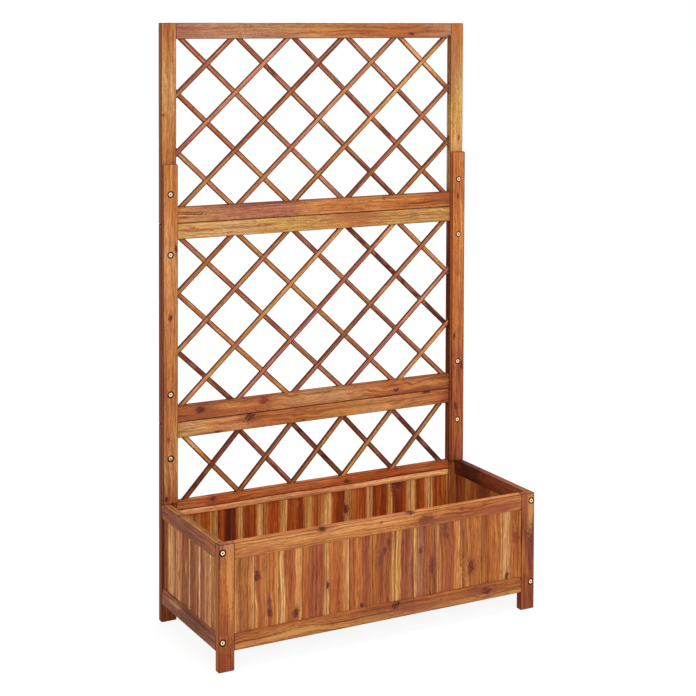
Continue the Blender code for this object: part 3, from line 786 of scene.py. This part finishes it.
# Slat walls
slatSize = {
    "cover": 0.063, "thick": 0.008, "tongue": 0.006,
    "gap": 0.0003, "railGap": 0.0002,    # between neighbours, and between a bead and the rails
    "chamfer": 0.0014,           # half of the V line between two slats
    "bead": 0.0082, "beadWidth": 0.0077, "beadRound": 0.0045,
}
slatWalls = {
    "front_slats": {
        "across": "x", "seed": 51, "slot": "wood_orange", "tint": (0.98, 1.05, 1.06),
        "stripes": {
            3: "honey", 5.2: "dun", 6.2: "dun", 7.4: "bark", 7.9: "orange", 8.6: "clay", 9.35: "honey",
            9.9: "rust", 11: "orange", 12: "honey", 13.2: "orange", 14.3: "amber", 14.85: "honey",
            15.65: "sand", 17.2: "amber", 19.8: "tan", 21.3: "honey", 21.95: "amber", 23: "amber",
            23.6: "brick", 27.4: "orange", 27.75: "sand", 28.4: "sand", 29: "orange", 30.2: "amber",
            32.3: "orange", 32.7: "tan", 33.4: "sand", 34.55: "rust", 35.4: "amber", 36.3: "orange",
            37.4: "amber", 38.1: "brick", 38.9: "plum", 40.2: "orange", 40.85: "amber", 41.9: "rust",
            42.6: "rust", 46.2: "tan", 47.15: "cream", 48.3: "tan", 48.8: "brick", 50.2: "brick",
            51.4: "mauve", 52.3: "rust", 52.6: "cream", 53.1: "sand", 53.5: "mauve", 55: "bark",
            56.2: "rust", 57: "rust", 58: "fawn", 59: "tan", 59.8: "rust", 60.4: "rust", 61.1: "brick",
            62: "brick", 63.6: "rust", 64.1: "orange", 64.8: "tan", 66: "tan", 66.2: "rust", 67: "honey",
            68.3: "amber", 69.6: "orange", 70.4: "orange", 71.7: "honey", 72.35: "rust", 73.2: "amber",
            75.1: "amber", 76.1: "orange", 76.8: "amber", 77.5: "amber", 77.9: "tan", 79.1: "sand",
            80.3: "sand", 80.9: "honey", 81: "orange", 82.2: "amber", 83.2: "orange",
        },
        "marks": [("knot", 10.1, 21.1, 0.62, 1.7), ("knot", 13.3, 11.8, 0.5, 1.8),
                  ("knot", 20, 10.4, 0.72, 1.7), ("violet", 13.4, 14.6, 0.45, 3),
                  ("knot", 28.9, 15.7, 0.32, 2.2), ("redKnot", 31.2, 10.9, 0.3, 1.4),
                  ("knot", 38, 9.2, 0.42, 1.3), ("knot", 45.6, 23.4, 0.5, 1.9, "coffee"),
                  ("knot", 44.1, 21.6, 0.62, 1.5, "coffee"), ("violet", 43.2, 19.8, 0.5, 3),
                  ("knot", 54.3, 20, 0.42, 1.9, "coffee"), ("violet", 57.6, 15.9, 0.8, 2.4),
                  ("crack", 57.6, 15.9, 0.12, 14), ("knot", 62.1, 22.5, 0.52, 1.3, "coffee"),
                  ("violet", 61.4, 24.6, 0.6, 3), ("knot", 69, 13.6, 1, 1.5, "coffee"),
                  ("redKnot", 82.8, 19, 0.8, 1.6), ("knot", 80.3, 9.4, 0.45, 1.9)],
    },
    "rear_slats": {
        "across": "x", "seed": 52, "slot": "wood_red", "wander": 0.5, "wave": 0.25,
        "tint": (1.21, 1.25, 1.28), "streak": 0.85,
        "stripes": {
            3: "orange", 9.35: "honey", 10.6: "copper", 11.5: "russet", 12.7: "copper", 13.3: "cream",
            14.9: "sand", 15.6: "russet", 17.4: "garnet", 18.2: "coffee", 19.1: "umber", 19.9: "wine",
            20.6: "orange", 21.2: "butter", 22.4: "orange", 23.1: "wine", 24.7: "russet", 26.2: "honey",
            26.8: "butter", 28: "cream", 28.8: "orange", 29.5: "copper", 30: "russet", 33.2: "cream",
            34.2: "butter", 35.1: "copper", 35.9: "russet", 38: "wine", 39.8: "orange", 40.5: "cream",
            42.3: "honey", 43: "copper", 43.9: "orange", 44.8: "honey", 45.4: "cream", 46.6: "butter",
            48: "orange", 48.6: "russet", 49.6: "wine", 52.2: "cream", 53.6: "orange", 55: "copper",
            58.3: "orange", 58.9: "sand", 60.5: "wine", 61.5: "russet", 63.1: "wine", 64.7: "russet",
            65.3: "cream", 66.4: "russet", 67.1: "garnet", 69.5: "russet", 70.9: "tan", 71.7: "butter",
            73.5: "orange", 74.2: "wine", 75.1: "russet", 76.7: "orange", 77.2: "sand", 78: "butter",
            79.1: "orange", 79.9: "copper", 81.5: "russet", 83.2: "orange",
        },
        "marks": [("knot", 52.4, 20.9, 0.7, 1.5), ("knot", 68.2, 25.3, 0.8, 1.4),
                  ("redKnot", 38, 24.4, 0.4, 1.5, "rust"), ("knot", 15.8, 22, 0.45, 1.4),
                  ("knot", 30, 12, 0.7, 1.6)],
    },
    "left_slats": {
        "across": "y", "seed": 53, "slot": "wood_tan", "wander": 0.4, "wave": 0.2, "stripeSoft": 0.12,
        "tint": (1.13, 1.20, 1.15), "patches": 0.6, "streak": 0.9, "lines": 0.9, "mottle": 0.75,
        "gloss": 0.05,
        "stripes": {
            # the narrow sand and blush stripes at 6.05, 12.4 and 18.65 are painted highlights on the V
            # lines
            1.5: "bark", 3.3: "clay", 4.6: "fawn", 6.05: "sand", 6.7: "clay", 9.4: "fawn", 10.6: "bark",
            12.4: "blush", 12.95: "fawn", 15: "bark", 15.7: "walnut", 17.2: "bark", 18.65: "blush",
            19.3: "bark", 20.5: "walnut", 23.9: "fawn", 24.6: "clay", 27.4: "fawn", 28.9: "clay",
            # the umber from 35 is painted shade beside the rear leg
            29.8: "sand", 31.1: "sand", 32.4: "fawn", 33: "walnut", 35: "umber",
        },
        "marks": [("redKnot", 25.5, 15, 0.5, 1.6, "rust"), ("stain", 20, 21.5, 0.5, 4, "brick"),
                  ("redKnot", 2.9, 18.7, 0.3, 1.4), ("stain", 15.8, 11.5, 0.5, 3),
                  ("pale", 21.2, 18.5, 0.3, 5, "clay"), ("stain", 22, 22.5, 0.7, 3, "brick")],
    },
    "right_slats": {
        "across": "y", "seed": 54, "slot": "wood_tan",
        "stripes": {
            1.5: "honey", 4.8: "orange", 6.15: "rust", 9.4: "amber", 12.45: "tan", 14.6: "honey",
            18.75: "brick", 21.6: "rust", 25.05: "orange", 28.2: "honey", 31.35: "amber", 34: "rust",
        },
        "marks": [("knot", 16.2, 20, 0.5, 1.6), ("redKnot", 28, 12, 0.6, 1.6)],
    },
}


def slatSeams(opening):
    # whole slats stand in the middle, with a cut one at each end
    whole = math.floor(opening / slatSize["cover"]) - 1
    return [slatSize["cover"] * (i - whole / 2) for i in range(whole + 1)]


def buildSlatWall(name, wall):
    low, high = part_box(name)
    axis = axisOf[wall["across"]]
    cover = slatSize["cover"]
    seams = slatSeams(high[axis] - low[axis] - 2 * slatSize["tongue"])
    half = Vector((0, 0, (high.z - low.z) / 2))
    half[axis] = (cover - slatSize["gap"]) / 2
    half[1 - axis] = slatSize["thick"] / 2
    model = addBlock(name, -half, half)
    bevelEdges(model, runsAlong(2), slatSize["chamfer"], 1)
    places = []
    for middle in [seams[0] - cover / 2] + [seam + cover / 2 for seam in seams]:
        place = (low + high) / 2
        place[axis] = middle
        places.append(Matrix.Translation(place))
    whole = repeat(name + "_boards", model, places)
    for point, side in ((low, -1), (high, 1)):           # the slats at the ends are narrower
        outward = [0, 0, 0]
        outward[axis] = side
        trimBeyond(whole, point, outward)
    grain, edge = "zyx", frontEdge
    if wall["across"] == "x":
        grain, edge = "zxy", leftEdge
        whole = join(whole.name, [whole] + [addEndBead(name, side, place.y) for side in (-1, 1)])
    look = {"grain": grain, "pitch": 100 * cover, "firstSeam": 100 * seams[0] - edge, "wander": 0.9, **wall}
    coat(whole, woodMaterial(name + "_wood", look))
    seat(whole, wall["slot"], name)


def addEndBead(name, side, depth):
    # the moulding beside a leg, on both faces of the wall
    railLow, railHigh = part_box("front_bottom_rail")[1].z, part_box("front_top_rail")[0].z
    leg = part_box("front_right_leg")[0].x
    outer = side * (leg - slatSize["gap"])
    inner = side * (leg - slatSize["beadWidth"])
    low = (min(outer, inner), depth - slatSize["bead"], railLow + slatSize["railGap"])
    high = (max(outer, inner), depth + slatSize["bead"], railHigh - slatSize["railGap"])
    bead = addBlock(name + "_bead", low, high)

    def inward(a, b):
        return runsAlong(2)(a, b) and abs(a.x - inner) < nearly

    bevelEdges(bead, inward, slatSize["beadRound"], 6)
    return bead


for name, wall in slatWalls.items():
    buildSlatWall(name, wall)
print("slats finished")


# Lattices: half-lapped laths, the rising ones in front, each with its own tone from left to right
lathSize = {
    "width": 0.013, "thick": 0.006, "ease": 0.0008,
    "step": 0.00018,             # how far a direction stands before or behind the middle
    "tongue": 0.0055, "columns": 5,
    "spare": 0.03,               # length past the opening, before the laths are trimmed
}
lathLook = {
    "wander": 0.4, "wave": 0.2, "paintedSideShade": 1.0, "streak": 0.9, "lines": 1.0, "ringSpacing": 0.5,
    "pores": 0.4, "tint": (1.22, 1.37, 1.62),
    "blotches": [((0.52, 0.62), "straw", 0.4), ((0.46, 0.36), "rose", 0.5)],
}
lattices = {
    "upper_lattice": {
        "rows": 3, "inset": 0.0055, "past": 0.010, "seed": 61,
        "rising": ["fawn", "rose", "bark", "fawn", "straw", "bark", "dun"],
        "falling": ["fawn", "dun", "fawn", "bark", "bark", "fawn", "dun"],
        "marks": [("knot", 30.6, 137.8, 0.5, 3.5), ("knot", 64, 121.2, 0.45, 4.5),
                  ("violet", 48.2, 122.8, 0.6, 5), ("violet", 20.6, 118.6, 0.5, 6),
                  ("violet", 74.5, 112.5, 0.7, 7), ("violet", 69.5, 130, 0.5, 6),
                  ("pale", 50.5, 141, 0.7, 7), ("pale", 22.5, 141.5, 0.6, 5, "sand"),
                  ("redKnot", 8.6, 128.6, 0.3, 2.5), ("stain", 38.5, 142.6, 0.5, 6),
                  ("violet", 38.6, 113.6, 0.5, 5), ("pale", 74, 141, 0.7, 8)],
    },
    "middle_lattice": {
        "rows": 3, "inset": 0.0055, "past": 0.010, "seed": 62,
        "rising": ["dun", "bark", "straw", "rose", "bark", "rose", "tan"],
        "falling": ["umber", "dun", "bark", "dun", "bark", "coffee", "straw"],
        "marks": [("knot", 55.6, 70.2, 0.45, 3.5), ("violet", 22, 81.5, 0.6, 7),
                  ("pale", 66.5, 95, 0.7, 7, "tan"), ("knot", 42.6, 91.3, 0.4, 3), ("pale", 31, 85, 0.7, 9),
                  ("knot", 12.9, 74, 0.35, 2.4), ("violet", 31, 72.6, 0.5, 6),
                  ("violet", 53.8, 57.5, 0.6, 6), ("redKnot", 48.2, 70.4, 0.3, 3),
                  ("pale", 76.5, 64.5, 0.7, 8, "sand"), ("violet", 42.5, 92, 0.5, 5)],
    },
    "lower_lattice": {
        "rows": 1, "inset": 0.024, "past": 0.0, "seed": 63,
        "rising": ["umber", "bark", "dun", "straw", "straw"],
        "falling": ["dun", "plum", "coffee", "umber", "coffee"],
        "marks": [("violet", 19, 43, 0.6, 5), ("pale", 62, 39.5, 0.7, 6), ("pale", 8.5, 44, 0.6, 4, "sand"),
                  ("violet", 24.5, 35.5, 0.4, 6), ("redKnot", 39, 33.4, 0.35, 3)],
    },
}


def buildLaths(name, lattice, family):
    # every lath crosses the middle of the opening at a place of its own, and ends in the frame
    low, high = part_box(name)
    rows, columns = lattice["rows"], lathSize["columns"]
    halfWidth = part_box("rear_right_leg")[0].x - lattice["inset"]
    height = high.z - low.z - 2 * lathSize["tongue"] + 2 * lattice["past"]
    column = 2 * halfWidth / columns
    slope, front = math.atan2(height / rows, column), -1
    length = height / math.sin(slope)
    if family == "falling":
        slope, front = -slope, 1
    half = Vector((length / 2 + lathSize["spare"], lathSize["thick"] / 2, lathSize["width"] / 2))
    model = addBlock(name, -half, half)
    bevelEdges(model, runsAlong(0), lathSize["ease"], 2)
    middle = (low + high) / 2 + Vector((0, front * lathSize["step"], 0))
    places = []
    for number in range(columns + rows - 1):
        middle.x = (number + 1 - rows / 2) * column - halfWidth
        places.append(Matrix.Translation(middle) @ Matrix.Rotation(-slope, 4, "Y"))
    whole = repeat("%s_%s" % (name, family), model, places)
    for point, outward in ((low, (-1, 0, 0)), (low, (0, 0, -1)), (high, (1, 0, 0)), (high, (0, 0, 1))):
        trimBeyond(whole, point, outward)

    spacing = 100 * column * math.sin(abs(slope))
    look = {**lathLook, "slope": slope, "pitch": spacing, "laths": lattice[family],
            "marks": lattice["marks"], "seed": lattice["seed"]}
    # painted shade on the lower left side of each falling lath
    if family == "falling":
        look["sideTone"] = "umber"
    first = Vector(((1 - rows / 2) * column - halfWidth, 0, middle.z)) * 100 - Vector((leftEdge, 0, 0))
    look["firstSeam"] = first.dot(Vector(grainDirections(look)[1])) - spacing / 2
    coat(whole, woodMaterial(whole.name + "_wood", look))
    return whole


for name, lattice in lattices.items():
    for family in ("rising", "falling"):
        seat(buildLaths(name, lattice, family), "wood_pink", name)
print("lattices finished")


# Brass screws and bolts, each turned along Y with its head outward
boltLook = {
    "head": 0.0065, "headThick": 0.0026, "crown": 0.0016,
    "shanks": {"screw": 0.0025, "bolt": 0.003}, "overlap": 0.0004,       # radii, and depth in the head
    "socket": 0.0024, "socketDepth": 0.0019, "socketTurn": 0.3,          # radius to the corners
    "chamfer": 0.0006, "sides": 40,
    "margin": 0.0001,                    # from the socket's walls to the faces above and below them
    "rim": 0.9,                          # share of the crown that is painted dark as shade from the recess
    "smooth": 35,                        # degrees
    "wearScale": 900, "wear": (0.35, 0.7), "polish": (0.3, 0.7), "spread": 0.08,
    "brass": ((1.0, 0.83, 0.55, 1), (1.0, 0.72, 0.42, 1), 0.24),         # bright, dull, roughness
    "socket_brass": ((0.04, 0.018, 0.008, 1), (0.02, 0.01, 0.005, 1), 0.5),
    "rim_brass": ((0.17, 0.055, 0.015, 1), (0.09, 0.03, 0.01, 1), 0.4),
}


def brassMaterial(name):
    bright, dull, roughness = boltLook[name]
    sheet = newSheet(name)
    place = sheet.node("ShaderNodeTexCoord", None, None, "Object")
    wear, spread = sheet.noise(place, boltLook["wearScale"], 3.0), boltLook["spread"]
    shade = sheet.mix(wear.smooth(*boltLook["wear"]), bright, dull)
    polish = wear.smooth(*boltLook["polish"], roughness - spread, roughness + spread)
    values = {"Base Color": shade, "Roughness": polish, "Metallic": 1.0}
    return sheet.surface(sheet.node("ShaderNodeBsdfPrincipled", None, values))


def addTurned(name, sides, radius, start, end, centre, turn=0.0):
    # a round or six-sided bar along Y
    bpy.ops.object.select_all(action="DESELECT")
    place = centre + Vector((0, (start + end) / 2, 0))
    bpy.ops.mesh.primitive_cylinder_add(vertices=sides, radius=radius, depth=end - start, location=place,
                                        rotation=(math.pi / 2, turn, 0))
    return keepPlace(name)


def applyBoolean(thing, other, operation):
    alone(thing)
    modifier = thing.modifiers.new("shape", "BOOLEAN")
    modifier.operation = operation
    modifier.object = other
    bpy.ops.object.modifier_apply(modifier=modifier.name)
    bpy.data.objects.remove(other, do_unlink=True)


def buildFastener(name, shankRadius):
    # facing -Y, with the underside of its head where the frame's piece has it
    top, thick, sides = headPlace(name), boltLook["headThick"], boltLook["sides"]
    centre = top + Vector((0, thick, 0))
    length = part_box(name)[1].y - centre.y
    head = addTurned(name + "_brass", sides, boltLook["head"], -thick, 0, centre)
    bevelEdges(head, lambda a, b: max(a.y, b.y) < centre.y - thick + nearly, boltLook["crown"], 5)
    shank = addTurned("shank", sides, shankRadius, -boltLook["overlap"], length, centre)
    bevelEdges(shank, lambda a, b: min(a.y, b.y) > centre.y + length - nearly, boltLook["chamfer"], 2)
    applyBoolean(head, shank, "UNION")
    depth = boltLook["socketDepth"]
    socket = addTurned("socket", 6, boltLook["socket"], -depth, depth, top, boltLook["socketTurn"])
    applyBoolean(head, socket, "DIFFERENCE")
    coat(head, *brasses)
    for face in head.data.polygons:
        offset = face.center - centre
        radius = Vector((offset.x, offset.z)).length
        if -thick + boltLook["margin"] < offset.y < -boltLook["margin"] and radius < boltLook["socket"]:
            face.material_index = 1
        # painted shade on the crown's rim, as from the recess round the head
        elif radius > boltLook["head"] - boltLook["rim"] * boltLook["crown"]:
            face.material_index = 2
    alone(head)
    bpy.ops.object.shade_smooth_by_angle(angle=math.radians(boltLook["smooth"]))
    return head


brasses = [brassMaterial(name) for name in ("brass", "socket_brass", "rim_brass")]
for kind, shankRadius in boltLook["shanks"].items():
    names = sorted(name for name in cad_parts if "_%s_" % kind in name)
    model = buildFastener(names[0], shankRadius)
    for name in names:
        turn = Matrix.Rotation(math.pi if name.startswith("rear") else 0, 4, "Z")
        matrix = Matrix.Translation(headPlace(name)) @ turn @ Matrix.Translation(-headPlace(names[0]))
        piece = model if name == names[0] else copyOf(model, matrix)
        piece.name = piece.data.name = name + "_brass"
        seat(piece, "brass", name)
print("brass finished")


# Floor, background and light: white studio, with the light from the front and the right
studio = {
    "ambient": 0.48, "aim": (0, 0, 0.6),
    "floor": {"size": 30, "white": 0.86, "glow": (1.05, 1.16), "reach": (0.6, 4.0), "share": 0.86},
    "lamps": {
        "key": {"place": (0.6, -4.0, 3.1), "size": 2.2, "watts": 94},
        "fill": {"place": (-3.4, -1.8, 1.3), "size": 2.2, "watts": 42},
        "top": {"place": (0.2, -0.4, 4.4), "size": 2.6, "watts": 130},
    },
}


def addLight(name, place, size, watts):
    data = bpy.data.lights.new(name, "AREA")
    data.size = size
    data.energy = watts
    light = bpy.data.objects.new(name, data)
    bpy.context.scene.collection.objects.link(light)
    light.location = place
    aim = Vector(studio["aim"]) - Vector(place)
    light.rotation_euler = aim.to_track_quat("-Z", "Y").to_euler()


def seenDirectly(sheet):
    # 1 for the camera and for reflections
    rays = [sheet.node("ShaderNodeLightPath", None, None, kind)
            for kind in ("Is Camera Ray", "Is Glossy Ray", "Is Transmission Ray")]
    return rays[0].maths("MAXIMUM", rays[1]).maths("MAXIMUM", rays[2])


def addSky():
    world = bpy.data.worlds.new("studio")
    bpy.context.scene.world = world
    sheet = Sheet(world)
    strength = seenDirectly(sheet) * (1 - studio["ambient"]) + studio["ambient"]
    sky = sheet.node("ShaderNodeBackground", None, {"Color": (1, 1, 1, 1), "Strength": strength})
    sheet.node("ShaderNodeOutputWorld", None, {"Surface": sky})


def addFloor(size, white, glow, reach, share):
    # matt where it bounces light, and white where it is seen; the glow makes up for the lamps' fall-off
    sheet = newSheet("floor")
    matt = sheet.node("ShaderNodeBsdfDiffuse", None, {"Color": (white, white, white, 1)})
    place = sheet.node("ShaderNodeTexCoord", None, None, "Object")
    values = {"Color": (1, 1, 1, 1), "Strength": sheet.length(place).smooth(*reach, *glow)}
    bright = sheet.node("ShaderNodeEmission", None, values)
    shader = sheet.node("ShaderNodeMixShader", None, {0: seenDirectly(sheet) * share, 1: matt, 2: bright})
    bpy.ops.object.select_all(action="DESELECT")
    bpy.ops.mesh.primitive_plane_add(size=size)
    ground = bpy.context.object
    ground.name = "floor"
    coat(ground, sheet.surface(shader))


addSky()
addFloor(**studio["floor"])
for name, lamp in studio["lamps"].items():
    addLight(name, **lamp)
bpy.context.scene.view_settings.view_transform = "Standard"
print("studio lit")
